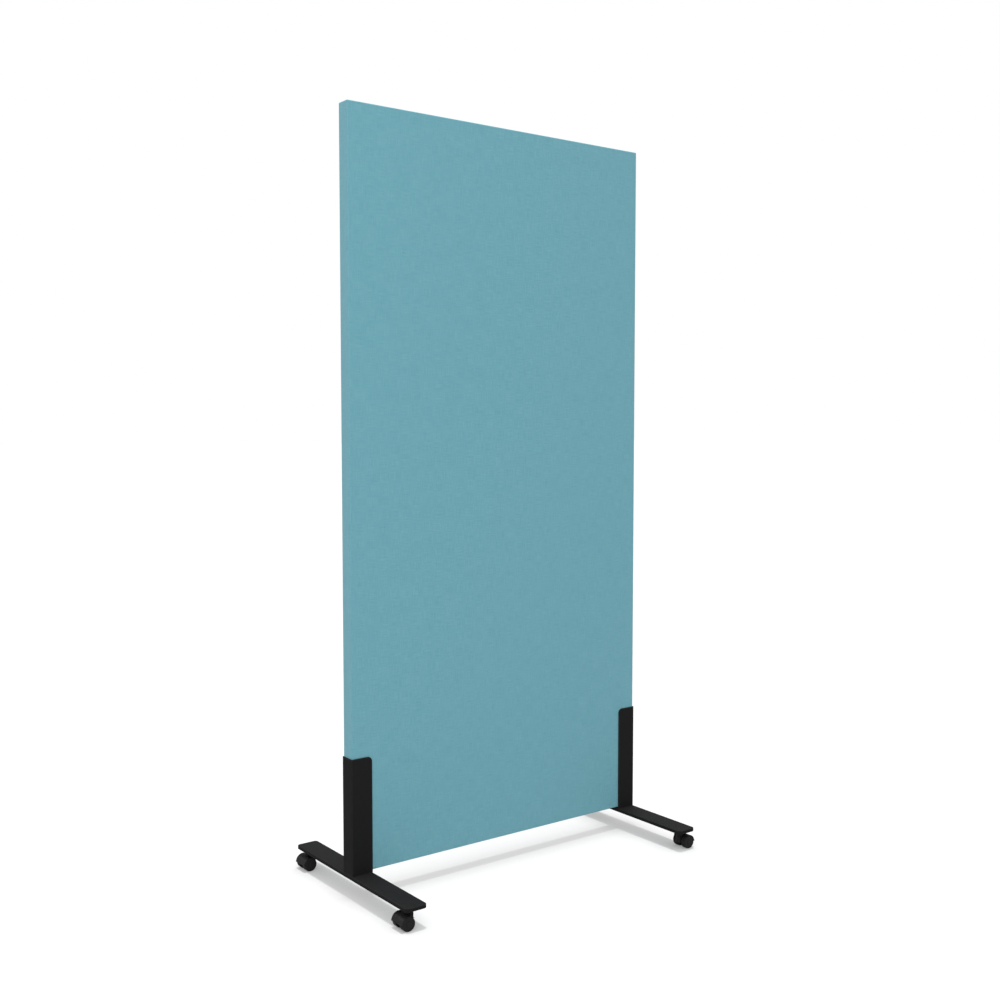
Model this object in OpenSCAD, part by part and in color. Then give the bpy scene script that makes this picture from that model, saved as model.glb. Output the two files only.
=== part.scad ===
// Rolling partition: a fabric-covered screen panel in two folded steel uprights, on two flat-bar
// feet with four hooded twin-wheel casters. The origin is on the floor under the panel's middle,
// X runs along the panel, the front faces -Y and Z is up.

/* [Panel] */
// Width of the covered panel
panel_w = 800; // [600:10:1400]
// Height of the covered panel
panel_h = 1600; // [1000:10:2000]
// Thickness of the covered panel
panel_t = 34; // [30:1:44]
// Radius of the covered panel's edges
panel_edge_r = 2; // [2:0.5:4]
// Thickness of the fabric
fabric_t = 1; // [0.8:0.1:1.2]
// Thickness of the wadding under the fabric, on each face
wadding_t = 2; // [1:0.5:3]
// Width of the wooden frame's stiles and rails
frame_w = 40; // [36:1:60]

/* [Uprights] */
// Width of an upright's flanges along the panel, over the web
upright_w = 50; // [46:1:60]
// Height of an upright above its foot plate
upright_h = 250; // [200:2:320]
// Thickness of the folded sheet steel
sheet_t = 2.5; // [1.5:0.5:3]
// Inside radius of the bends
bend_r = 1; // [0.5:0.5:1.5]
// Radius of the flanges' free top corners
flange_corner_r = 10; // [4:1:20]
// Thickness of the seat plate under the panel's end
seat_t = 5; // [5:0.5:8]

/* [Feet] */
// Length of a foot plate
foot_l = 460; // [380:10:600]
// Thickness of a foot plate
foot_t = 8; // [8:1:12]
// Radius of a foot plate's corners seen from above
foot_corner_r = 8; // [4:1:14]
// Radius of a foot plate's broken edges
foot_edge_r = 0.8; // [0.5:0.1:1.5]
// Distance of a caster's stem from the foot plate's end
stem_inset = 27; // [24:1:40]

/* [Casters] */
// Height of a caster, from the floor to the foot plate
caster_h = 42; // [42:0.5:50]
// Diameter of a wheel
wheel_d = 30; // [28:0.5:31]
// Width of a caster over both wheels
wheels_w = 40; // [36:0.5:44]
// Distance from the swivel axis to the wheels' axle
trail = 14.5; // [14:0.5:18]
// Diameter of the stem's boss on the housing
boss_d = 14.5; // [13:0.5:15]

/* [Hidden] */
$fn = 72;
FIT = 0.05; // running clearance on a radius
LAP = 1; // how far a cutter passes the face that it cuts

plate_top = caster_h + foot_t;
panel_z = plate_top + seat_t;
panel_top = panel_z + panel_h;
stem_x = panel_w / 2 + sheet_t - upright_w / 2;
stem_y = foot_l / 2 - stem_inset;

// wooden frame, inside the fabric and between the waddings
frame_t = panel_t - 2 * (fabric_t + wadding_t);
inner_w = panel_w - 2 * fabric_t;
inner_t = panel_t - 2 * fabric_t;
inner_z = panel_z + fabric_t;
inner_h = panel_h - 2 * fabric_t;
core_w = inner_w - 2 * frame_w;
dowel_r = 4;
dowel_l = 48;
dowel_spread = frame_w / 2;

// closing strip under the panel
hem_gap = 10;
hem_gap_l = core_w - 40;
strip_w = 24;
strip_t = 0.8;
strip_l = hem_gap_l + 20;
staple_w = 10;
staple_t = 0.6;
staple_leg = 8;
staple_y = 8.5;
STAPLES = 8;

// screws through the upright's rear flange into the stile
PANEL_SCREW_HEIGHTS = [70, 200];
screw_r = 2.5;
screw_l = 17;
screw_head_r = 5;
screw_head_h = 2.2;
insert_r = 4.5;
insert_l = 14;
insert_hole_l = 24;

// countersunk screws up through the foot plate into the seat plate
foot_screw_r = 3;
foot_screw_head_r = 6;
foot_screw_head_h = 3;
foot_screw_l = 12.5;
foot_screw_y = 9;
foot_screw_sunk = 0.3;

// caster stem
stem_r = 4;
stem_grip = 6.3;
collar_r = 6.5;
collar_h = 1.8;
journal_r = 3.5;
journal_end = caster_h - 21;
ring_z = journal_end + 2.5;
ring_t = 0.9;
ring_groove_r = 2.9;
ring_r = 4;

// caster housing and wheels; the housing's own frame has the swivel axis as Z and the tail to +X
axle_z = wheel_d / 2;
axle_r = 2.5;
boss_top = caster_h - collar_h - 0.3;
boss_z = 13;
web_z = 9;
boss_half = 6.2;
hood_gap = 0.5;
hood_wall = 1.1;
roof_r = wheel_d / 2 + hood_gap;
hood_r = roof_r + hood_wall;
wheel_out = wheels_w / 2;
wheel_in = boss_half + 0.5;
hood_half = wheel_out + 0.3;
hood_round = 1;
roof_angle = 138;
lip_r = hood_r + 0.5;
lip_h = 4;
axle_half = wheel_out - 1.6;
wheel_round = 2;
wheel_rim = 2.4;
wheel_face = 1.6;
wheel_hub_r = 5;
dish_r = [6.2, 12.6];
dish_depth = 0.7;
RIBS = 6;

CORNERS = [
    ["front_left", -1, -1],
    ["front_right", 1, -1],
    ["rear_left", -1, 1],
    ["rear_right", 1, 1]
];
SIDES = [["left", -1], ["right", 1]];
CASTER_PIECES = ["stem", "stem_ring", "hood", "axle", "outer_wheel", "inner_wheel"];
SIDE_PIECES = [
    "stile", "upright", "seat_plate", "foot_plate", "foot_screws", "panel_screws", "panel_inserts"
];
MIDDLE_PIECES = [
    "fabric_cover", "front_wadding", "back_wadding", "top_rail", "bottom_rail", "acoustic_core",
    "frame_dowels", "bottom_strip", "strip_staples"
];

FABRIC = [0.43, 0.64, 0.69];
WADDING = [0.86, 0.86, 0.83];
TIMBER = [0.80, 0.66, 0.46];
FIBRE = [0.62, 0.62, 0.58];
STRIP = [0.16, 0.16, 0.17];
COATED_STEEL = [0.14, 0.14, 0.145];
BRIGHT_STEEL = [0.70, 0.71, 0.72];
BLACKENED_STEEL = [0.10, 0.10, 0.105];
BRASS = [0.76, 0.62, 0.32];
NYLON = [0.11, 0.11, 0.115];
WHEEL_NYLON = [0.13, 0.13, 0.135];

// ---- helpers ----

// A box on z = 0, centred in X and Y
module block(x, y, z) {
    translate([-x / 2, -y / 2, 0]) cube([x, y, z]);
}

// A rectangle with round corners, centred
module round_rect(x, y, r) {
    square([x - 2 * r, y], center = true);
    square([x, y - 2 * r], center = true);
    for (sx = [-1, 1], sy = [-1, 1])
        translate([sx * (x / 2 - r), sy * (y / 2 - r)]) circle(r);
}

// A box on z = 0 with every edge rounded: where three rounded bars, one along each axis, meet
module soft_box(x, y, z, r) {
    intersection() {
        linear_extrude(z) round_rect(x, y, r);
        translate([0, y / 2, z / 2]) rotate([90, 0, 0]) linear_extrude(y) round_rect(x, z, r);
        translate([-x / 2, 0, z / 2]) rotate([90, 0, 90]) linear_extrude(x) round_rect(y, z, r);
    }
}

// A cylinder along Y from y0 to y1
module y_cylinder(r, y0, y1) {
    translate([0, y1, 0]) rotate([90, 0, 0]) cylinder(r = r, h = y1 - y0);
}

// Draws its children at one side of the partition: they are made for the right side
module at_side(side) {
    if (side > 0) children();
    else mirror([1, 0, 0]) children();
}

// Draws its children at one corner, from the caster's own frame
module at_corner(c) {
    at_side(c[1]) translate([stem_x, c[2] * stem_y, 0]) children();
}

// Where the screws through one rear flange go, on the flange's outer face and facing inwards
module at_panel_screws() {
    for (h = PANEL_SCREW_HEIGHTS)
        translate([stem_x, panel_t / 2 + sheet_t, plate_top + h]) rotate([90, 0, 0]) children();
}

// ---- panel ----

// Sleeve of fabric, hemmed under the bottom rail, with holes for the screws at the back
module fabric_cover() {
    color(FABRIC) difference() {
        translate([0, 0, panel_z]) soft_box(panel_w, panel_t, panel_h, panel_edge_r);
        translate([0, 0, inner_z]) block(inner_w, inner_t, inner_h);
        translate([0, 0, panel_z - LAP]) block(hem_gap_l, hem_gap, fabric_t + 2 * LAP);
        for (s = SIDES) at_side(s[1]) at_panel_screws() cylinder(r = screw_r + 0.6, h = 10);
    }
}

module wadding_sheet() {
    block(inner_w, wadding_t, inner_h);
}

module front_wadding() {
    color(WADDING) translate([0, -(frame_t + wadding_t) / 2, inner_z]) wadding_sheet();
}

module back_wadding() {
    color(WADDING) difference() {
        translate([0, (frame_t + wadding_t) / 2, inner_z]) wadding_sheet();
        for (s = SIDES) at_side(s[1]) at_panel_screws() cylinder(r = screw_r + 0.6, h = 10);
    }
}

// The two dowels of each corner lie along X across the joint of stile and rail
module dowels_at(side, r, length) {
    for (rail_z = [inner_z + frame_w / 2, inner_z + inner_h - frame_w / 2], dz = [-0.5, 0.5])
        translate([side * core_w / 2 - length / 2, 0, rail_z + dz * dowel_spread])
            rotate([0, 90, 0]) cylinder(r = r, h = length);
}

module stile() {
    color(TIMBER) difference() {
        translate([(inner_w - frame_w) / 2, 0, inner_z]) block(frame_w, frame_t, inner_h);
        dowels_at(1, dowel_r + FIT, dowel_l + 1);
        at_panel_screws() cylinder(r = insert_r + FIT, h = insert_hole_l);
    }
}

module rail(z) {
    color(TIMBER) difference() {
        translate([0, 0, z]) block(core_w, frame_t, frame_w);
        for (side = [-1, 1]) dowels_at(side, dowel_r + FIT, dowel_l + 1);
    }
}

module top_rail() {
    rail(inner_z + inner_h - frame_w);
}

module bottom_rail() {
    rail(inner_z);
}

module frame_dowels() {
    color(TIMBER) for (side = [-1, 1]) dowels_at(side, dowel_r, dowel_l);
}

module acoustic_core() {
    color(FIBRE) translate([0, 0, inner_z + frame_w])
        block(core_w, frame_t, inner_h - 2 * frame_w);
}

// Woven strip that covers the sleeve's hems under the panel
module bottom_strip() {
    color(STRIP) translate([0, 0, panel_z - strip_t]) block(strip_l, strip_w, strip_t);
}

// Wire staple with its crown on z = 0 and its legs up
module staple() {
    translate([0, 0, -staple_t]) block(staple_w, 1.2, staple_t);
    for (side = [-1, 1])
        translate([side * (staple_w - staple_t) / 2, 0, -staple_t]) block(staple_t, 1.2, staple_leg);
}

module strip_staples() {
    pitch = (strip_l - 30) / (STAPLES - 1);
    color(BRIGHT_STEEL) for (i = [0:STAPLES - 1], side = [-1, 1])
        translate([(i - (STAPLES - 1) / 2) * pitch, side * staple_y, panel_z - strip_t]) staple();
}

// ---- uprights and feet, drawn for the right side ----

// Plan of the folded sheet: a web at the panel's end and a flange along each face
module channel_plan() {
    outer_r = bend_r + sheet_t;
    outer_t = panel_t + 2 * sheet_t;
    difference() {
        union() {
            translate([-upright_w, -outer_t / 2]) square([upright_w - outer_r, outer_t]);
            translate([-outer_r - LAP, outer_r - outer_t / 2])
                square([outer_r + LAP, outer_t - 2 * outer_r]);
            for (side = [-1, 1]) translate([-outer_r, side * (outer_t / 2 - outer_r)]) circle(outer_r);
        }
        translate([-upright_w - LAP, -panel_t / 2])
            square([upright_w + LAP - outer_r, panel_t]);
        translate([-outer_r - LAP, bend_r - panel_t / 2])
            square([outer_r + LAP - sheet_t, panel_t - 2 * bend_r]);
        for (side = [-1, 1]) translate([-outer_r, side * (panel_t / 2 - bend_r)]) circle(bend_r);
    }
}

// What the rounding takes off the flanges' free top corners
module flange_corner_cut() {
    depth = panel_t + 2 * sheet_t + 2 * LAP;
    difference() {
        translate([-LAP, -depth / 2, -flange_corner_r])
            cube([flange_corner_r + LAP, depth, flange_corner_r + LAP]);
        translate([flange_corner_r, 0, -flange_corner_r])
            y_cylinder(flange_corner_r, -depth / 2 - LAP, depth / 2 + LAP);
    }
}

module upright() {
    end_x = panel_w / 2 + sheet_t;
    color(COATED_STEEL) difference() {
        translate([end_x, 0, plate_top]) linear_extrude(upright_h) channel_plan();
        translate([end_x - upright_w, 0, plate_top + upright_h]) flange_corner_cut();
        at_panel_screws() translate([0, 0, -LAP]) cylinder(r = screw_r + 0.25, h = sheet_t + 2 * LAP);
    }
}

module at_foot_screws() {
    for (side = [-1, 1]) translate([stem_x, side * foot_screw_y, caster_h]) children();
}

// Tapped plate that the panel's end stands on, welded inside the upright
module seat_plate() {
    length = upright_w - sheet_t - 2;
    color(COATED_STEEL) difference() {
        translate([panel_w / 2 - length / 2, 0, plate_top])
            block(length - 2 * bend_r, panel_t, seat_t);
        at_foot_screws() cylinder(r = foot_screw_r, h = foot_t + seat_t + LAP);
    }
}

// Flat bar with round corners and broken edges, countersunk below for the seat plate's screws and
// tapped blind from below for the casters
module foot_plate() {
    end_x = panel_w / 2 + sheet_t;
    cone_h = foot_screw_head_h + foot_screw_sunk;
    color(COATED_STEEL) difference() {
        translate([end_x - upright_w / 2, 0, caster_h]) hull()
            for (sx = [-1, 1], sy = [-1, 1])
                translate([
                    sx * (upright_w / 2 - foot_corner_r),
                    sy * (foot_l / 2 - foot_corner_r)
                ]) rotate_extrude($fn = 40) pebble_half(foot_corner_r, foot_t, foot_edge_r);
        at_foot_screws() {
            translate([0, 0, -LAP]) cylinder(r = foot_screw_r + 0.3, h = foot_t + 2 * LAP);
            cylinder(r1 = foot_screw_head_r + foot_screw_sunk + 0.1, r2 = foot_screw_r + 0.1,
                h = cone_h);
        }
        for (side = [-1, 1]) translate([stem_x, side * stem_y, caster_h - LAP])
            cylinder(r = stem_r, h = stem_grip + 0.4 + LAP);
    }
}

// Half section of a disc with broken edges
module pebble_half(r, h, edge) {
    steps = 4;
    polygon(concat(
        [[0, 0]],
        [for (i = [0:steps]) let (a = -90 + 90 * i / steps)
            [r - edge + edge * cos(a), edge + edge * sin(a)]],
        [for (i = [0:steps]) let (a = 90 * i / steps)
            [r - edge + edge * cos(a), h - edge + edge * sin(a)]],
        [[0, h]]
    ));
}

// Countersunk screws with a hexagon socket
module foot_screws() {
    color(BRIGHT_STEEL) at_foot_screws() difference() {
        union() {
            translate([0, 0, foot_screw_sunk])
                cylinder(r1 = foot_screw_head_r, r2 = foot_screw_r - FIT, h = foot_screw_head_h);
            translate([0, 0, foot_screw_sunk]) cylinder(r = foot_screw_r - FIT, h = foot_screw_l);
        }
        cylinder(r = 2.3, h = 2.5, $fn = 6);
    }
}

// Low-headed screws with a hexagon socket
module panel_screws() {
    color(BRIGHT_STEEL) at_panel_screws() difference() {
        union() {
            cylinder(r = screw_r - FIT, h = screw_l);
            rotate([180, 0, 0]) intersection() {
                cylinder(r = screw_head_r, h = screw_head_h);
                translate([0, 0, screw_head_h - 9]) sphere(9);
            }
        }
        translate([0, 0, -screw_head_h - LAP]) cylinder(r = 1.7, h = 1.6 + LAP, $fn = 6);
    }
}

// Flanged threaded inserts, flush with the stile's rear face
module panel_inserts() {
    start = sheet_t + fabric_t + wadding_t;
    color(BRASS) at_panel_screws() translate([0, 0, start]) difference() {
        cylinder(r = insert_r, h = insert_l);
        translate([0, 0, -LAP]) cylinder(r = screw_r, h = insert_l + 2 * LAP);
    }
}

// ---- casters, drawn about the swivel axis with the tail to +X ----

// Threaded end, collar against the foot plate, and a plain journal with a groove for the ring
module stem() {
    color(BLACKENED_STEEL) rotate_extrude() polygon([
        [0, journal_end],
        [journal_r - 0.5, journal_end],
        [journal_r, journal_end + 0.5],
        [journal_r, ring_z],
        [ring_groove_r, ring_z],
        [ring_groove_r, ring_z + ring_t],
        [journal_r, ring_z + ring_t],
        [journal_r, caster_h - collar_h],
        [collar_r, caster_h - collar_h],
        [collar_r, caster_h],
        [stem_r - FIT, caster_h],
        [stem_r - FIT, caster_h + stem_grip - 0.6],
        [stem_r - 0.6, caster_h + stem_grip],
        [0, caster_h + stem_grip]
    ]);
}

// Open spring ring that holds the housing on the journal
module stem_ring() {
    play = 0.05;
    color(BLACKENED_STEEL) translate([0, 0, ring_z + play]) rotate([0, 0, 20])
        rotate_extrude(angle = 320)
            translate([ring_groove_r + play, 0]) square([ring_r - ring_groove_r - play, ring_t - 2 * play]);
}

// Section of the hood: a thin roof over both wheels with rounded shoulders, as distance from the
// axle along X and place along the axle along Y
module hood_section() {
    translate([roof_r, -hood_half]) square([hood_wall - hood_round, 2 * hood_half]);
    translate([roof_r, hood_round - hood_half]) square([hood_wall, 2 * (hood_half - hood_round)]);
    for (side = [-1, 1]) translate([hood_r - hood_round, side * (hood_half - hood_round)])
        intersection() {
            circle(hood_round);
            translate([0, -hood_round]) square(2 * hood_round);
        }
}

// Pointed lip along the hood's lower edge at the tail
module hood_lip() {
    translate([0, wheel_out, 0]) rotate([90, 0, 0]) linear_extrude(2 * wheel_out) polygon([
        [roof_r, 0],
        [lip_r, 0],
        [hood_r * cos(asin(lip_h / hood_r)), lip_h],
        [roof_r * cos(asin(lip_h / roof_r)), lip_h]
    ]);
}

// One moulding: boss for the stem, web between the wheels, hub for the axle, and the hood
module hood() {
    bore_top = boss_top + LAP;
    color(NYLON) difference() {
        union() {
            translate([0, 0, wheel_d + 0.4])
                cylinder(d = boss_d, h = boss_top - wheel_d - 0.4);
            intersection() {
                translate([0, 0, boss_z]) cylinder(d = boss_d, h = boss_top - boss_z);
                translate([0, 0, boss_z]) block(boss_d, 2 * boss_half, boss_top - boss_z);
            }
            translate([trail, 0, axle_z]) {
                rotate([90, 0, 0]) rotate_extrude(angle = roof_angle) hood_section();
                hood_lip();
                hood_fairing();
                y_cylinder(wheel_hub_r + 0.5, -boss_half, boss_half);
                hood_web();
            }
        }
        translate([0, 0, journal_end - 1]) cylinder(r = journal_r + FIT, h = bore_top);
        translate([0, 0, ring_z - 0.2]) cylinder(r = ring_r + 0.3, h = ring_t + 0.4);
        translate([trail, 0, axle_z]) y_cylinder(axle_r, -boss_half - LAP, boss_half + LAP);
    }
}

// Plate in the gap between the wheels, from the boss to the roof
module hood_web() {
    web_half = 1.6;
    translate([0, web_half, 0]) rotate([90, 0, 0]) linear_extrude(2 * web_half) intersection() {
        circle(roof_r + hood_wall / 2);
        polygon([
            [-trail, web_z - axle_z],
            [-trail, boss_top - axle_z - 1],
            [0, lip_r],
            [lip_r, lip_r],
            [lip_r, 0],
            [0, web_z - axle_z]
        ]);
    }
}

// Shoulder that carries the roof up to the top of the boss
module hood_fairing() {
    half = boss_half - 1;
    translate([0, half, 0]) rotate([90, 0, 0]) linear_extrude(2 * half) difference() {
        polygon([
            [-trail, roof_r - 2],
            [-trail, boss_top - axle_z - 0.5],
            [boss_d / 2 - trail, boss_top - axle_z - 0.5],
            [lip_h, hood_r * cos(asin(lip_h / hood_r))],
            [lip_h, roof_r - 2]
        ]);
        circle(roof_r);
    }
}

module axle() {
    color(BRIGHT_STEEL) translate([trail, 0, axle_z]) y_cylinder(axle_r, -axle_half, axle_half);
}

// One wheel, outwards to +Y: a tread on a thin outer face with a dished ring, a hub, and ribs
module wheel() {
    rim_in = wheel_d / 2 - wheel_rim;
    difference() {
        union() {
            rotate([-90, 0, 0]) rotate_extrude() difference() {
                wheel_half_section();
                translate([wheel_hub_r, wheel_in - LAP])
                    square([rim_in - wheel_hub_r, wheel_out - wheel_in - wheel_face + LAP]);
                translate([dish_r[0], wheel_out - dish_depth])
                    square([dish_r[1] - dish_r[0], dish_depth + LAP]);
            }
            for (i = [0:RIBS - 1]) rotate([0, i * 360 / RIBS, 0])
                translate([wheel_hub_r - 0.5, wheel_in + 1, -0.5])
                    cube([rim_in - wheel_hub_r + 1, wheel_out - wheel_in - wheel_face - 0.5, 1]);
        }
        y_cylinder(axle_r + FIT, wheel_in - LAP, axle_half + 0.2);
    }
}

// The wheel's solid outline as a half section: radius along X, place along the axle up
module wheel_half_section() {
    r = wheel_d / 2;
    translate([0, wheel_in]) square([r - 0.6, wheel_out - wheel_in - wheel_round]);
    translate([0, wheel_in + 0.6]) square([r, wheel_out - wheel_in - wheel_round - 0.6]);
    translate([0, wheel_in]) square([r - wheel_round, wheel_out - wheel_in]);
    translate([r - wheel_round, wheel_out - wheel_round]) circle(wheel_round);
}

// The outer wheel is the one nearer the foot plate's end
module wheel_at(direction) {
    color(WHEEL_NYLON) translate([trail, 0, axle_z])
        if (direction > 0) wheel();
        else mirror([0, 1, 0]) wheel();
}

// ---- assembly ----

fabric_cover();
front_wadding();
back_wadding();
top_rail();
bottom_rail();
acoustic_core();
frame_dowels();
bottom_strip();
strip_staples();
for (s = SIDES) {
    at_side(s[1]) stile();
    at_side(s[1]) upright();
    at_side(s[1]) seat_plate();
    at_side(s[1]) foot_plate();
    at_side(s[1]) foot_screws();
    at_side(s[1]) panel_screws();
    at_side(s[1]) panel_inserts();
}
for (c = CORNERS) {
    at_corner(c) stem();
    at_corner(c) stem_ring();
    at_corner(c) hood();
    at_corner(c) axle();
    at_corner(c) wheel_at(c[2]);
    at_corner(c) wheel_at(-c[2]);
}
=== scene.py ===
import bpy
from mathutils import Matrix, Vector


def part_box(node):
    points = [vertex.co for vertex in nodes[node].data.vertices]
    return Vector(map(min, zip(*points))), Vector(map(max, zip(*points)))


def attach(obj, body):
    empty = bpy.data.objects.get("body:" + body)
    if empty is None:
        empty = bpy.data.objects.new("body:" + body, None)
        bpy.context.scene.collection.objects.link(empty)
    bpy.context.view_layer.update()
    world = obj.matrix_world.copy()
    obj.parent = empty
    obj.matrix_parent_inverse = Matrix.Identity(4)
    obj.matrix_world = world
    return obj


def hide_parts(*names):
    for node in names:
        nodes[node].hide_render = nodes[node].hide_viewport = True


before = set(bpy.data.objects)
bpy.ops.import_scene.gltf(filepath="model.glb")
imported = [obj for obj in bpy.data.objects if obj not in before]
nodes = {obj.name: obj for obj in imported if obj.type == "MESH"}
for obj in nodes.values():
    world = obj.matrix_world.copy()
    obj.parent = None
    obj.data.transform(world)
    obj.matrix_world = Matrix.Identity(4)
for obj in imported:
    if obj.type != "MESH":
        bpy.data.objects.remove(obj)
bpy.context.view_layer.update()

from math import pi, radians

import bmesh
import bpy
import numpy as np


# ---- The view ----
# The screen is seen from in front of its left end, from standing eye height, with the whole of it
# and its four casters in the square frame.

eye = (-1.6471, -2.1872, 0.9981)
turned_right, tipped_down = 36.984, 3.552
sensor_mm, lens_mm = 36, 43.473

camera_data = bpy.data.cameras.new("view")
camera_data.sensor_width = sensor_mm
camera_data.lens = lens_mm
camera = bpy.data.objects.new("view", camera_data)
camera.location = eye
camera.rotation_euler = (radians(90 - tipped_down), 0, radians(-turned_right))
bpy.context.scene.collection.objects.link(camera)
bpy.context.scene.camera = camera
bpy.context.scene.view_settings.view_transform = "Standard"


# ---- Light ----
# A white room lights the screen evenly. A round lamp far overhead draws the soft shadows under
# the feet and the panel, and a wide soft box at the front left lifts the upper part.

room_light = 0.69
overhead = dict(strength=3.0, spread=7)
soft_box = dict(power=50, size=2.0, place=(-2.3, -2.7, 2.6), aim=(0, 0, 1.2))


class Level:
    """A value or colour in a shader. +, -, * and / add the Math node that works them out, with a
    number or another value on either side, and of() adds any other Math node."""

    def __init__(self, finish, socket):
        self.finish, self.socket = finish, socket

    def of(self, operation, *others):
        values = dict(enumerate((self, *others)))
        return self.finish.node("ShaderNodeMath", {"operation": operation}, values)

    def __add__(self, other):
        return self.of("ADD", other)

    def __sub__(self, other):
        return self.of("SUBTRACT", other)

    def __rsub__(self, other):
        return self * -1 + other

    def __mul__(self, other):
        return self.of("MULTIPLY", other)

    def __truediv__(self, other):
        return self.of("DIVIDE", other)

    __radd__ = __add__
    __rmul__ = __mul__


class Finish:
    """A material or the room's light, as a tree of nodes."""

    def __init__(self, name, owner=None):
        self.owner = owner or bpy.data.materials.new(name)
        self.owner.use_nodes = True
        self.tree = self.owner.node_tree

    def node(self, kind, settings=None, values=None, output=0):
        """Adds one node: its settings first, with a ramp's stops among them, then the value or
        the link of each socket by number or name. Gives back the output asked for."""
        added = self.tree.nodes.new(kind)
        for key, value in (settings or {}).items():
            if key == "stops":
                ramp = added.color_ramp
                while len(ramp.elements) < len(value):
                    ramp.elements.new(0.5)
                for element, (place, colour) in zip(ramp.elements, value):
                    element.position, element.color = place, (*colour, 1)
            else:
                setattr(added, key, value)
        self.fill(added, values or {})
        return Level(self, added.outputs[output])

    def fill(self, added, values):
        for key, value in values.items():
            if isinstance(value, Level):
                self.tree.links.new(value.socket, added.inputs[key])
            elif isinstance(value, tuple) and added.inputs[key].type == "RGBA":
                added.inputs[key].default_value = (*value, 1)
            else:
                added.inputs[key].default_value = value

    def surface(self, values):
        self.fill(self.tree.nodes["Principled BSDF"], values)

    def mixed(self, share, first, second):
        """Colour between first and second by share."""
        return self.node(
            "ShaderNodeMix", {"data_type": "RGBA"}, {0: share, 6: first, 7: second}, output=2
        )

    def noise(self, scale, detail=2.0, along=None, stretch=(1, 1, 1)):
        """Noise of about scale grains a metre, drawn out where stretch is under 1."""
        where = along or self.node("ShaderNodeTexCoord", output="Object")
        where = self.node("ShaderNodeMapping", values={"Vector": where, "Scale": stretch})
        grain = {"Vector": where, "Scale": scale, "Detail": detail}
        return self.node("ShaderNodeTexNoise", values=grain)

    def relief(self, height, depth, strength=1.0):
        """Normal of a surface raised by height, 0 to 1, times depth in metres."""
        raised = {"Height": height, "Distance": depth, "Strength": strength}
        return self.node("ShaderNodeBump", values=raised)


def seen_white(finish):
    """1 for a ray from the camera or one mirrored or let through to it, and 0 for other light."""
    kinds = ("Is Camera Ray", "Is Glossy Ray", "Is Transmission Ray")
    first, second, third = (finish.node("ShaderNodeLightPath", output=kind) for kind in kinds)
    return first.of("MAXIMUM", second).of("MAXIMUM", third)


world = bpy.data.worlds.new("white_room")
bpy.context.scene.world = world
room = Finish("room", world)
glow = seen_white(room) * (1 - room_light) + room_light
room.fill(room.tree.nodes["Background"], {"Color": (1, 1, 1), "Strength": glow})

sun = bpy.data.lights.new("overhead", "SUN")
sun.energy = overhead["strength"]
sun.angle = radians(overhead["spread"])
sun_object = bpy.data.objects.new("overhead", sun)
bpy.context.scene.collection.objects.link(sun_object)

box_light = bpy.data.lights.new("soft_box", "AREA")
box_light.energy = soft_box["power"]
box_light.size = soft_box["size"]
box_object = bpy.data.objects.new("soft_box", box_light)
box_object.location = soft_box["place"]
toward = np.subtract(soft_box["aim"], soft_box["place"])
box_object.rotation_euler = (
    np.arctan2(np.hypot(toward[0], toward[1]), -toward[2]),
    0,
    np.arctan2(toward[1], toward[0]) - pi / 2,
)
bpy.context.scene.collection.objects.link(box_object)


# ---- Floor ----
# A plain floor that runs out to the horizon and is seen as white. It keeps the soft shadows of
# the feet and of the panel, and painted shade darkens it close round the casters and under the
# feet.

floor_half = 60
floor_white = (0.50, 0.50, 0.50)
floor_seen = (0.30, 0.30, 0.30)
floor_lift = 0.16
open_floor_lift = 0.42
open_within = 0.07
open_samples = 4


def put_mesh(name, points, faces, uv=None, smooth=True):
    """Makes an object from an array of points and one of faces, with a texture place for each
    corner of each face where uv gives them."""
    mesh = bpy.data.meshes.new(name)
    mesh.from_pydata(points.tolist(), [], faces.tolist())
    if uv is not None:
        mesh.uv_layers.new(name="cloth").data.foreach_set("uv", uv.ravel())
    mesh.polygons.foreach_set("use_smooth", np.full(len(faces), smooth))
    mesh.update()
    made = bpy.data.objects.new(name, mesh)
    bpy.context.scene.collection.objects.link(made)
    return made


floor = put_mesh(
    "floor",
    floor_half * np.array([(-1, -1, 0), (1, -1, 0), (1, 1, 0), (-1, 1, 0)], float),
    np.array([(0, 1, 2, 3)]),
)

# The floor throws light back on the screen as floor_white. The camera sees it as floor_seen with a
# lift to white, and most of the lift fades, as painted shade, where something stands within
# open_within of it.
floor_finish = Finish("white_floor")
seen = seen_white(floor_finish)
shaded = floor_finish.node(
    "ShaderNodeBsdfDiffuse", values={"Color": floor_finish.mixed(seen, floor_white, floor_seen)}
)
# Painted shade: the lift below is cut where other things stand close over the floor.
open_floor = floor_finish.node(
    "ShaderNodeAmbientOcclusion",
    {"samples": open_samples},
    {"Distance": open_within},
    output="AO",
)
lift = seen * (open_floor * open_floor_lift + floor_lift)
lit = floor_finish.node("ShaderNodeEmission", values={"Color": lift})
both = floor_finish.node("ShaderNodeAddShader", values={0: shaded, 1: lit})
floor_finish.fill(floor_finish.tree.nodes["Material Output"], {"Surface": both})
floor.data.materials.append(floor_finish.owner)


# ---- Wooden frame, core and their dowels ----
# Two stiles and two rails of planed pine, doweled at the corners, carry the panel. A board of
# pressed fibre fills the frame and deadens sound.

pine = (0.62, 0.42, 0.21)
pine_late = (0.46, 0.27, 0.11)
fibre = (0.34, 0.34, 0.30)
fibre_dark = (0.24, 0.24, 0.21)
grain_up, grain_across = (1, 1, 0.05), (0.05, 1, 1)


def dress(names, finish):
    """Gives every CAD node in names the material in each of its slots."""
    for name in names:
        for place in nodes[name].material_slots:
            place.material = finish.owner


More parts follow.
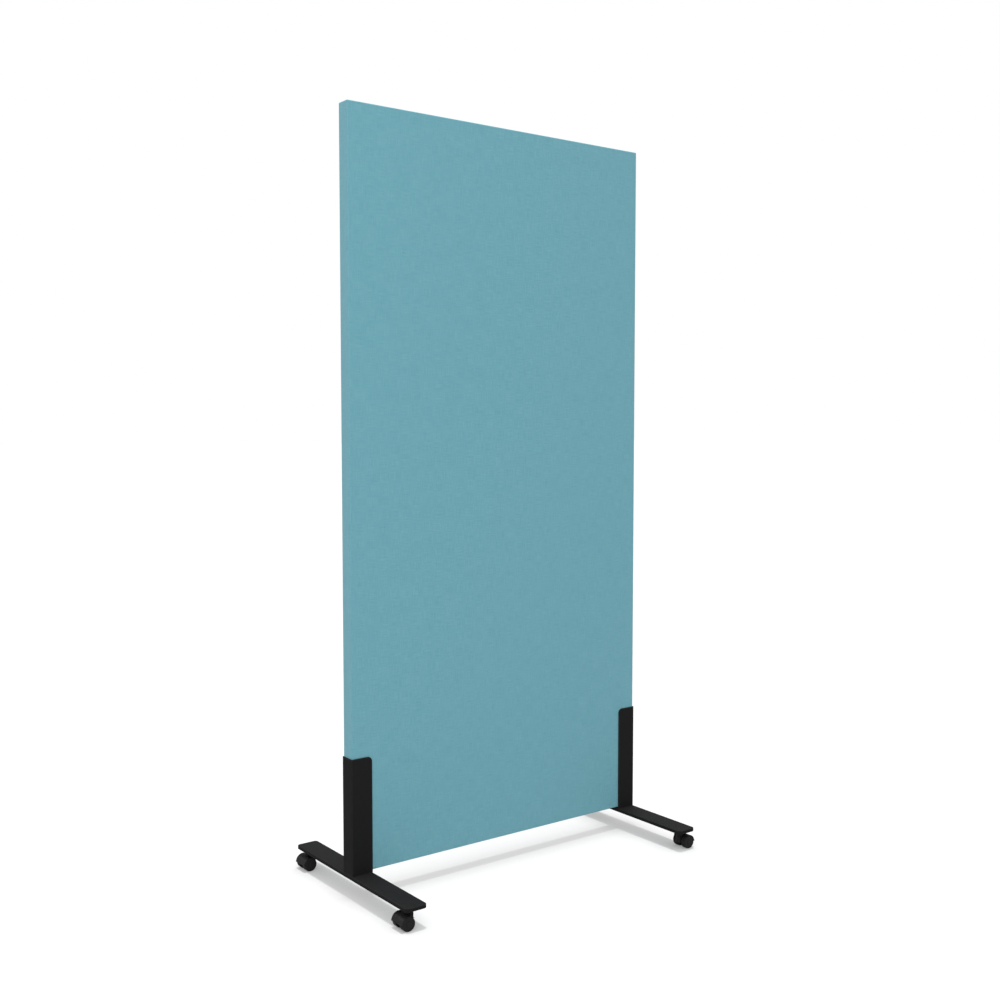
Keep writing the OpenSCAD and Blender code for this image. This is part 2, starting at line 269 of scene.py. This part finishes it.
def pine_finish(name, stretch):
    """Early and late wood as noise drawn out along the grain, with fine pores in relief."""
    wood = Finish(name)
    rings = wood.noise(70, 3, stretch=stretch)
    pores = wood.noise(900, 2, stretch=stretch)
    wood.surface(
        {
            "Base Color": wood.mixed(rings, pine, pine_late),
            "Roughness": 0.55 + 0.2 * pores,
            "Normal": wood.relief(pores, 0.00006),
        }
    )
    return wood


dress(["left_stile", "right_stile"], pine_finish("pine_upright", grain_up))
dress(["top_rail", "bottom_rail", "frame_dowels"], pine_finish("pine_across", grain_across))

board = Finish("pressed_fibre")
strands = board.noise(420, 4)
clumps = board.noise(60, 2)
board.surface(
    {
        "Base Color": board.mixed(clumps, fibre, fibre_dark),
        "Roughness": 0.9,
        "Normal": board.relief(strands, 0.0004),
    }
)
dress(["acoustic_core"], board)


# ---- Wadding ----
# A thin sheet of polyester wadding lies on each face of the frame under the fabric. It is cut to
# the frame's size and tacked by its edges.

wadding_white = (0.78, 0.78, 0.74)
wadding_grey = (0.66, 0.66, 0.62)
wadding_half = (0.399, 0.799)
wadding_t = 0.002
wadding_step = 0.02
fabric_t = 0.001
panel_low, panel_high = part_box("fabric_cover")
panel_half = (panel_high - panel_low) / 2
panel_mid = (panel_high + panel_low) / 2
edge_steps = np.array([0, 0.9, 1.7, 2.3, 2.8, 3.2, 3.6, 4.1, 4.9, 6.2, 8.5, 12, 17, 24]) / 1000
slack_waves = ((9.1, 3.7, 0.6), (5.3, -7.9, 2.1), (4.4, 14.6, 0.0))
slack_depth = 0.00030
slack_eases = 0.06


def spread(length, step, near=edge_steps):
    """Places from 0 to length: close together near both ends, as edge_steps has them, and about
    step apart between."""
    between = np.linspace(near[-1], length - near[-1], int(length / step))
    return np.concatenate([near[:-1], between, length - near[:-1][::-1]])


def slack(x, z):
    """How far the fabric lies below a true plane at x, z: the sum of three long sine waves, eased
    to nothing over the last slack_eases before each edge."""
    waves = sum(np.sin(by_x * x + by_z * z + shift) for by_x, by_z, shift in slack_waves)
    from_edge = np.minimum(panel_half.x - np.abs(x), panel_half.z - np.abs(z - panel_mid.z))
    eased = np.clip(from_edge / slack_eases, 0, 1) ** 2
    return slack_depth * (0.5 + waves / (2 * len(slack_waves))) * eased


def slab(outer, inner):
    """Closed sheet between two grids of points, each rows by columns by 3: a face over each
    grid and walls from one rim to the other. The outer grid's faces turn counterclockwise from
    its first point along its first row."""
    rows, columns = outer.shape[:2]
    count = rows * columns
    first = (np.arange(rows - 1)[:, None] * columns + np.arange(columns - 1)).ravel()
    over = np.stack([first, first + 1, first + columns + 1, first + columns], 1)
    rim = np.concatenate(
        [
            np.arange(columns - 1),
            np.arange(rows - 1) * columns + columns - 1,
            count - 1 - np.arange(columns - 1),
            (rows - 1 - np.arange(rows - 1)) * columns,
        ]
    )
    after = np.roll(rim, -1)
    walls = np.stack([rim + count, after + count, after, rim], 1)
    points = np.concatenate([outer.reshape(-1, 3), inner.reshape(-1, 3)])
    return points, np.concatenate([over, over[:, ::-1] + count, walls])


def wadding(name, side):
    """One sheet: a grid of X by Z in its outer face, at the fabric's inner face less its slack,
    and the same grid a sheet's thickness further in."""
    x = spread(2 * wadding_half[0], wadding_step) - wadding_half[0]
    z = spread(2 * wadding_half[1], wadding_step) + panel_mid.z - wadding_half[1]
    x, z = np.meshgrid(x, z)
    inside = panel_half.y - fabric_t
    outer = np.stack([x, side * (inside - slack(x, z)), z], -1)
    inner = np.stack([x, np.full_like(x, side * (inside - wadding_t)), z], -1)
    points, faces = slab(outer, inner)
    return put_mesh(name, points, faces if side < 0 else faces[:, ::-1])


fleece = Finish("wadding_fleece")
fluff = fleece.noise(700, 5)
fleece.surface(
    {
        "Base Color": fleece.mixed(fleece.noise(45, 2), wadding_white, wadding_grey),
        "Roughness": 0.95,
        "Sheen Weight": 0.4,
        "Normal": fleece.relief(fluff, 0.0006),
    }
)
for name, side in (("front", -1), ("back", 1)):
    sheet = wadding(f"{name}_wadding_sheet", side)
    sheet.data.materials.append(fleece.owner)
    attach(sheet, "partition")
    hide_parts(f"{name}_wadding")


# ---- Fabric cover ----
# A sleeve of woven wool mix, teal, pulled tight over the wadded frame from above. A back piece is
# sewn to the front piece just inside the back's edges, and the hems turn under the bottom rail.

edge_r = 0.002
least_r = 0.0002
arc_steps = 5
end_steps, under_steps, top_steps = 8, 7, 9
step_along, step_up = 0.0125, 0.016
weld_within, level_within = 0.00001, 0.000001
hem_half = (0.339, 0.005)
seam_in = 0.0032
seam_depth = 0.0006
seam_half_w = 0.0008
yarn = 0.0011
yarn_wander = 0.0004
weave_depth = 0.00016
teal = (0.156, 0.376, 0.442)
teal_light = (0.222, 0.463, 0.526)
teal_deep = (0.099, 0.295, 0.358)


def ring_directions():
    """One turn round the panel seen from above, as a place on the outline of a square from -1 to
    1 and the unit normal there: the front from left to right, a corner's quarter turn, the right
    end, and so on."""
    long_side = spread(2 * panel_half.x, step_along) / panel_half.x - 1
    short_side = np.linspace(-1, 1, end_steps + 1)
    quarter = np.linspace(0, pi / 2, arc_steps + 1)[1:-1]
    parts = []
    for turn, along in enumerate([long_side, short_side, long_side, short_side]):
        c, s = np.cos(turn * pi / 2), np.sin(turn * pi / 2)
        spin = np.array([[c, -s], [s, c]])
        side = np.stack([along, -np.ones_like(along)])
        flat = np.stack([np.zeros_like(along), -np.ones_like(along)])
        corner = np.ones((2, len(quarter))) * [[1], [-1]]
        bend = np.stack([np.sin(quarter), -np.cos(quarter)])
        parts.append(
            np.concatenate([spin @ np.hstack([side, corner]), spin @ np.hstack([flat, bend])])
        )
    return np.hstack(parts)


def cover_path():
    """The fabric's way from the hem under the panel, out, round the bottom edge, up, round the
    top edge and in to the middle of the top: the half sizes in X and Y, the corner radius, the
    height, and the distance travelled."""
    tall, flat_in = 2 * panel_half.z, panel_half.y - edge_r
    quarter = np.linspace(0, pi / 2, arc_steps + 1)
    round_in = edge_r * (1 - np.sin(quarter))
    round_up = edge_r * (1 - np.cos(quarter))
    under = np.linspace(1, 0, under_steps + 1)[:-1]
    over = np.linspace(0, 1, top_steps + 1)[1:]
    up = spread(tall - 2 * edge_r, step_up)[1:-1] + edge_r
    hem_in = edge_r + under * (flat_in - hem_half[1])
    top_in = edge_r + over * flat_in
    inset = np.concatenate([hem_in, round_in, 0 * up, round_in[::-1], top_in])
    height = np.concatenate([0 * under, round_up, up, tall - round_up[::-1], tall + 0 * over])
    half_x = panel_half.x - inset
    half_x[: len(under)] = hem_half[0] + (1 - under) * (panel_half.x - edge_r - hem_half[0])
    half_y = panel_half.y - inset
    radius = np.clip(edge_r - inset, least_r, edge_r)
    radius[-1] = 0
    half_y[-1] = 0
    travelled = np.concatenate([[0], np.cumsum(np.hypot(np.diff(inset), np.diff(height)))])
    return half_x, half_y, radius, height, travelled


def cover_points(inward):
    """Grid of points: at each stage of the path, the outline of a rectangle pushed out by its
    corner radius along the normal. The inner skin is the same with every size less inward. The
    flat faces sink by the slack, and the back by the seam's groove."""
    place_x, place_y, normal_x, normal_y = ring_directions()[:, None, :]
    half_x, half_y, radius, height = (v[:, None] for v in cover_path()[:-1])
    tall = 2 * panel_half.z
    radius_in = np.clip(radius - inward, least_r / 2, None) * (radius > 0)
    at_hem = height == 0
    hx = np.where(at_hem, np.minimum(half_x, panel_half.x - inward), half_x - inward)
    hy = np.where(at_hem, np.minimum(half_y, panel_half.y - inward), half_y - inward)
    hx, hy = np.maximum(hx, 0), np.maximum(hy, 0) * (half_y > 0)
    x = (hx - radius_in) * place_x + radius_in * normal_x
    y = (hy - radius_in) * place_y + radius_in * normal_y
    z = panel_low.z + np.clip(height, inward, tall - inward) + 0 * x
    sunk = slack(x, z)
    from_edge = np.minimum(panel_half.x - np.abs(x), panel_high.z - z)
    groove = seam_depth * np.exp(-(((from_edge - seam_in) / seam_half_w) ** 2)) * (normal_y > 0.5)
    faces_y = np.abs(normal_y) > 0.999
    upright_part = (height > edge_r) & (height < tall - edge_r)
    y = y - np.sign(normal_y) * (sunk + groove) * (faces_y & upright_part)
    return np.stack([x, y, z], -1)


def cover_uv(corners):
    """Cloth places in metres for each corner of the outer faces, given as rings by columns by 4 by
    3: the way round the panel from the middle of the front, and the way up it. Over the top and
    under the bottom, the front's cloth runs straight on to the middle, and so does the back's."""
    place_x, place_y, normal_x, normal_y = ring_directions()
    x = (panel_half.x - edge_r) * place_x + edge_r * normal_x
    y = (panel_half.y - edge_r) * place_y + edge_r * normal_y
    step = np.hypot(np.diff(x, append=x[0]), np.diff(y, append=y[0]))
    round_it = np.concatenate([[0], np.cumsum(step)]) + x[0]
    travelled = cover_path()[-1]
    u = np.stack([round_it[:-1], round_it[1:], round_it[1:], round_it[:-1]], -1)
    v = np.stack([travelled[:-1], travelled[:-1], travelled[1:], travelled[1:]], -1)
    u, v = u[None] + 0 * corners[..., 2], v[:, None] + 0 * corners[..., 2]
    x, y, z = np.moveaxis(corners, -1, 0)
    level = np.ptp(z, axis=-1, keepdims=True) < level_within
    on_back = y.mean(-1, keepdims=True) > 0
    u = np.where(level, np.where(on_back, np.sum(step) / 2 - x, x), u)
    over_top = travelled[-1] - np.abs(y)
    under_bottom = np.abs(y) - hem_half[1]
    v = np.where(level, np.where(z > panel_mid.z, over_top, under_bottom), v)
    return np.stack([u, v], -1)


def cover_mesh():
    """The outer and the inner grid, each closed round its rings, joined at the hem."""
    outer, inner = cover_points(0), cover_points(fabric_t)
    rows, columns = outer.shape[:2]
    points = np.concatenate([outer.reshape(-1, 3), inner.reshape(-1, 3)])
    row, column = np.meshgrid(np.arange(rows - 1), np.arange(columns), indexing="ij")
    after = (column + 1) % columns
    here, above = row * columns, (row + 1) * columns
    quad = np.stack([here + column, here + after, above + after, above + column], -1)
    uv = cover_uv(points[quad]).reshape(-1, 4, 2)
    quad = quad.reshape(-1, 4)
    ring = np.arange(columns)
    count = rows * columns
    hem = np.stack([ring, ring + count, np.roll(ring, -1) + count, np.roll(ring, -1)], 1)
    faces = np.concatenate([quad, quad[:, ::-1] + count, hem])
    return points, faces, np.concatenate([uv, uv[:, ::-1], np.zeros((columns, 4, 2))])


cover = put_mesh("fabric_sleeve", *cover_mesh())
shape = bmesh.new()
shape.from_mesh(cover.data)
bmesh.ops.remove_doubles(shape, verts=shape.verts, dist=weld_within)
shape.to_mesh(cover.data)
shape.free()

cloth = Finish("teal_wool_mix")
where = cloth.node("ShaderNodeUVMap", {"uv_map": "cloth"})
across = cloth.node("ShaderNodeSeparateXYZ", values={0: where}, output=0)
upward = cloth.node("ShaderNodeSeparateXYZ", values={0: where}, output=1)
wobble = cloth.noise(160, 2, along=where)
warp = ((across + yarn_wander * wobble) * (pi / yarn)).of("SINE")
weft = ((upward + yarn_wander * wobble) * (pi / yarn)).of("SINE")
over = warp * weft
warp_top = warp.of("ABSOLUTE") * (0.5 + 0.5 * over)
weft_top = weft.of("ABSOLUTE") * (0.5 - 0.5 * over)
weave = warp_top.of("MAXIMUM", weft_top)
fibres = cloth.noise(2600, 4, along=where)
warp_slub = cloth.noise(900, 2, along=where, stretch=(1, 0.04, 1))
weft_slub = cloth.noise(900, 2, along=where, stretch=(0.04, 1, 1))
melange = (warp_slub * warp_top + weft_slub * weft_top) / (warp_top + weft_top + 0.05)
patches = cloth.noise(24, 3, along=where)
tone = (melange - 0.5) * 1.1 + (fibres - 0.5) * 0.9 + (patches - 0.5) * 0.12 + 0.5
light_or_dark = cloth.node(
    "ShaderNodeValToRGB", {"stops": [(0.15, teal_deep), (0.5, teal), (0.9, teal_light)]}, {0: tone}
)
cloth.surface(
    {
        # Where the weave lies low, between the yarns, the colour goes darker: painted shade.
        "Base Color": cloth.mixed((1 - weave) * 0.35, light_or_dark, teal_deep),
        "Roughness": 0.82 + 0.12 * fibres,
        "Specular IOR Level": 0.25,
        "Sheen Weight": 0.22,
        "Sheen Roughness": 0.45,
        "Normal": cloth.relief(weave * 0.8 + fibres * 0.35, weave_depth, 0.7),
    }
)
cover.data.materials.append(cloth.owner)
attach(cover, "partition")
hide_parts("fabric_cover")


# ---- Closing strip and staples ----
# A woven black strip hides the sleeve's hems under the bottom rail. Two rows of wire staples hold
# it, and it swells a little between them.

strip_black = (0.022, 0.022, 0.024)
strip_gap_shade = (0.014, 0.014, 0.015)
rib_pitch, pick_pitch = 0.0009, 0.0007
staple_inset, staple_spaces = 0.015, 7
staple_row_y = 0.0085
staple_half = (0.005, 0.0006)
held_past = (0.003, 0.0022)
swelling = 0.00022
strip_eases = 0.002
strip_steps = (280, 16)
strip_low, strip_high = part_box("bottom_strip")


def strip_grids():
    """Grid of X by Y at the strip's upper face and one at its lower face, which swells down a
    little everywhere but at the strip's edges and at each staple, whose wire holds it up. The
    hold is a bell over the distance past the wire's end and the distance past its side."""
    half_x, half_y = strip_high.x, strip_high.y
    x = np.linspace(-half_x, half_x, strip_steps[0] + 1)
    y = np.linspace(-half_y, half_y, strip_steps[1] + 1)
    x, y = np.meshgrid(x, y)
    pitch = 2 * (half_x - staple_inset) / staple_spaces
    from_staple = np.abs(x / pitch % 1 - 0.5) * pitch
    past_end = np.maximum(from_staple - staple_half[0], 0)
    past_side = np.maximum(np.abs(np.abs(y) - staple_row_y) - staple_half[1], 0)
    held = np.exp(-((past_end / held_past[0]) ** 2) - (past_side / held_past[1]) ** 2)
    from_edge = np.minimum(half_x - np.abs(x), half_y - np.abs(y))
    swelled = (1 - held) * np.clip(from_edge / strip_eases, 0, 1)
    upper = np.stack([x, y, strip_high.z + 0 * x], -1)
    lower = np.stack([x, y, strip_low.z - swelling * swelled], -1)
    return upper, lower


strip = put_mesh("closing_strip", *slab(*strip_grids()), smooth=False)
ribbon = Finish("black_ribbon")
place = ribbon.node("ShaderNodeTexCoord", output="Object")
along_strip = ribbon.node("ShaderNodeSeparateXYZ", values={0: place}, output=0)
across_strip = ribbon.node("ShaderNodeSeparateXYZ", values={0: place}, output=1)
ribs = (along_strip * (2 * pi / rib_pitch)).of("SINE")
picks = (across_strip * (2 * pi / pick_pitch)).of("SINE")
ribbon_weave = ribs * picks * 0.5 + 0.5
# Where the weave lies low, between ribs and picks, its colour is darker: painted shade.
ribbon.surface(
    {
        "Base Color": ribbon.mixed(ribbon_weave, strip_gap_shade, strip_black),
        "Roughness": 0.75,
        "Normal": ribbon.relief(ribbon_weave, 0.00012),
    }
)
strip.data.materials.append(ribbon.owner)
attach(strip, "partition")
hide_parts("bottom_strip")


# ---- Screws, inserts and staples ----
# Zinc-plated steel screws and staples, and turned brass inserts in the stiles. Turning and wire
# drawing leave faint lines round them.

zinc_grey = (0.62, 0.63, 0.64)
brass_yellow = (0.72, 0.50, 0.20)
round_y, round_z = (900, 9000, 900), (900, 900, 9000)


def plated(name, colour, rough, lines, depth=0.00002):
    """Bare or plated metal: a clouded tone, and fine lines in relief that run round the axis
    along which lines has the most marks a metre."""
    metal = Finish(name)
    cloud = metal.noise(700, 3)
    marks = metal.noise(1, 3, stretch=lines)
    dull = tuple(0.66 * c for c in colour)
    metal.surface(
        {
            "Base Color": metal.mixed(cloud, colour, dull),
            "Metallic": 1.0,
            "Roughness": rough + 0.14 * (marks - 0.5) + 0.1 * (cloud - 0.5),
            "Normal": metal.relief(marks, depth),
        }
    )
    return metal


zinc = plated("zinc_plate", zinc_grey, 0.33, round_y)
dress(["left_panel_screws", "right_panel_screws", "strip_staples"], zinc)
zinc_up = plated("zinc_plate_turned_up", zinc_grey, 0.33, round_z)
dress(["left_foot_screws", "right_foot_screws"], zinc_up)
brass = plated("turned_brass", brass_yellow, 0.30, round_y)
dress(["left_panel_inserts", "right_panel_inserts"], brass)


# ---- Uprights, seat plates and foot plates ----
# Sheet steel folded into a channel and flat bar for the feet, all with one coat of fine-textured
# black powder, baked on. It is grainy to the eye, and its edges are painted lighter, partly as
# rubbed wear and partly as a painted highlight.

powder = (0.0098, 0.0098, 0.0099)
powder_grain = (0.0245, 0.0245, 0.0247)
# The edges' lighter colour below is partly rubbed wear and partly a painted highlight.
powder_worn_and_highlit = (0.0400, 0.0400, 0.0403)
foot_mid, foot_half = (0.3775, 0, 0.046), (0.025, 0.230, 0.004)
upright_mid, upright_half = (0.3775, 0, 0.175), (0.025, 0.0195, 0.125)
foot_worn_and_highlit, upright_worn_and_highlit = 0.0014, 0.0028


def box_edges(finish, middle, half, width):
    """1 along the edges of a box on each side of the partition, fading to 0 over width: a face
    of the box is near it in one direction, and an edge in two."""
    spot = finish.node("ShaderNodeTexCoord", output="Object")
    near = []
    for axis in range(3):
        place = finish.node("ShaderNodeSeparateXYZ", values={0: spot}, output=axis)
        if axis == 0:
            place = place.of("ABSOLUTE")
        out = (place - middle[axis]).of("ABSOLUTE") - (half[axis] - width)
        near.append((out / width).of("MAXIMUM", 0).of("MINIMUM", 1))
    return (near[0] * near[1] + near[0] * near[2] + near[1] * near[2]).of("MINIMUM", 1)


def powder_coat(name, middle, half, edge_width):
    """Grit half a millimetre across on a slow ripple, with lighter grains, and edges painted
    lighter as wear and as a painted highlight.
    """
    coat = Finish(name)
    grit = coat.noise(1500, 3)
    ripple = coat.noise(240, 2)
    handled = coat.noise(9, 3)
    # Edge mask for the lighter colour: rubbed wear and a painted highlight along the edges.
    worn_and_highlit_edge = box_edges(coat, middle, half, edge_width) * coat.noise(130, 2) * 0.7
    grains = ((grit - 0.5) * 5).of("MAXIMUM", 0).of("MINIMUM", 1)
    speckled = coat.mixed(handled * 0.18 + grains * 0.5, powder, powder_grain)
    coat.surface(
        {
            "Base Color": coat.mixed(worn_and_highlit_edge, speckled, powder_worn_and_highlit),
            "Roughness": 0.70 + 0.2 * (grit - 0.5) + 0.12 * (handled - 0.5) - 0.12 * worn_and_highlit_edge,
            "Specular IOR Level": 0.03,
            "Normal": coat.relief(grit * 0.8 + ripple * 0.8, 0.0002, 0.9),
        }
    )
    return coat


upright_coat = powder_coat("powder_coat_upright", upright_mid, upright_half, upright_worn_and_highlit)
dress(["left_upright", "right_upright"], upright_coat)
foot_coat = powder_coat("powder_coat_foot", foot_mid, foot_half, foot_worn_and_highlit)
dress(["left_foot_plate", "left_seat_plate", "right_foot_plate", "right_seat_plate"], foot_coat)


# ---- Caster stems ----
# A threaded steel stem with a collar and a journal is screwed up into the foot plate. It is
# blackened, and a spring ring in its groove keeps the housing on.

stem_black = (0.060, 0.060, 0.063)
corners = ["front_left", "front_right", "rear_left", "rear_right"]

blackened = plated("blackened_steel", stem_black, 0.42, round_z)
dress([f"{corner}_{piece}" for corner in corners for piece in ("stem", "stem_ring")], blackened)


# ---- Caster housings ----
# One moulding of black nylon: a boss round the stem, a web between the wheels and a roof over
# them. The mould leaves a fine grain and a parting line down the middle, and use leaves scuffs.

housing_black = (0.0135, 0.0135, 0.0137)
housing_scuffed = (0.0340, 0.0340, 0.0343)
caster_y = 0.203
parting_half_w = 0.00018

moulded = Finish("housing_nylon")
spark = moulded.noise(2400, 2)
scuff = moulded.noise(140, 5)
scuffed = ((scuff - 0.42) * 1.6 + (spark - 0.5) * 0.6).of("MAXIMUM", 0).of("MINIMUM", 1)
spot = moulded.node("ShaderNodeTexCoord", output="Object")
along_y = moulded.node("ShaderNodeSeparateXYZ", values={0: spot}, output=1)
off_middle = along_y.of("ABSOLUTE") - caster_y
parting = (1 - off_middle.of("ABSOLUTE") / parting_half_w).of("MAXIMUM", 0)
moulded.surface(
    {
        "Base Color": moulded.mixed(scuffed, housing_black, housing_scuffed),
        "Roughness": 0.46 + 0.2 * (spark - 0.5) + 0.24 * (scuff - 0.5),
        "Specular IOR Level": 0.04,
        "Normal": moulded.relief(spark * 0.5 + parting, 0.00012, 0.9),
    }
)
dress([f"{corner}_hood" for corner in corners], moulded)


# ---- Axles and wheels ----
# Each housing's web holds a steel pin, and a hard nylon wheel runs on each end of it. Rolling
# dulls and greys the tread, and the disc keeps the mould's faint turning marks.

axle_x, axle_z = 0.392, 0.015
axle_grey = (0.56, 0.57, 0.58)
wheel_r = 0.015
tread_from, tread_fades = 0.92 * wheel_r, 0.07 * wheel_r
wheel_black = (0.0172, 0.0172, 0.0174)
tread_grey = (0.0300, 0.0298, 0.0292)
turning_pitch = 0.0007

pin = plated("axle_steel", axle_grey, 0.3, round_y)
dress([f"{corner}_axle" for corner in corners], pin)

tyre = Finish("wheel_nylon")
spot = tyre.node("ShaderNodeTexCoord", output="Object")
spot_x = tyre.node("ShaderNodeSeparateXYZ", values={0: spot}, output=0)
spot_z = tyre.node("ShaderNodeSeparateXYZ", values={0: spot}, output=2)
from_axle_x = spot_x.of("ABSOLUTE") - axle_x
from_axle_z = spot_z - axle_z
from_axle = (from_axle_x * from_axle_x + from_axle_z * from_axle_z).of("SQRT")
tread = ((from_axle - tread_from) / tread_fades).of("MAXIMUM", 0).of("MINIMUM", 1)
turning = (from_axle * (2 * pi / turning_pitch)).of("SINE")
dust = tyre.noise(260, 4)
dusty = ((dust - 0.45) * 3 * tread + (turning * 0.04 + 0.04)).of("MAXIMUM", 0).of("MINIMUM", 1)
tyre.surface(
    {
        "Base Color": tyre.mixed(dusty, wheel_black, tread_grey),
        "Roughness": 0.42 + 0.25 * tread + 0.15 * (dust - 0.5),
        "Specular IOR Level": 0.04,
        "Normal": tyre.relief(turning * 0.2 + dust * tread, 0.00006, 0.8),
    }
)
dress([f"{corner}_{side}_wheel" for corner in corners for side in ("outer", "inner")], tyre)
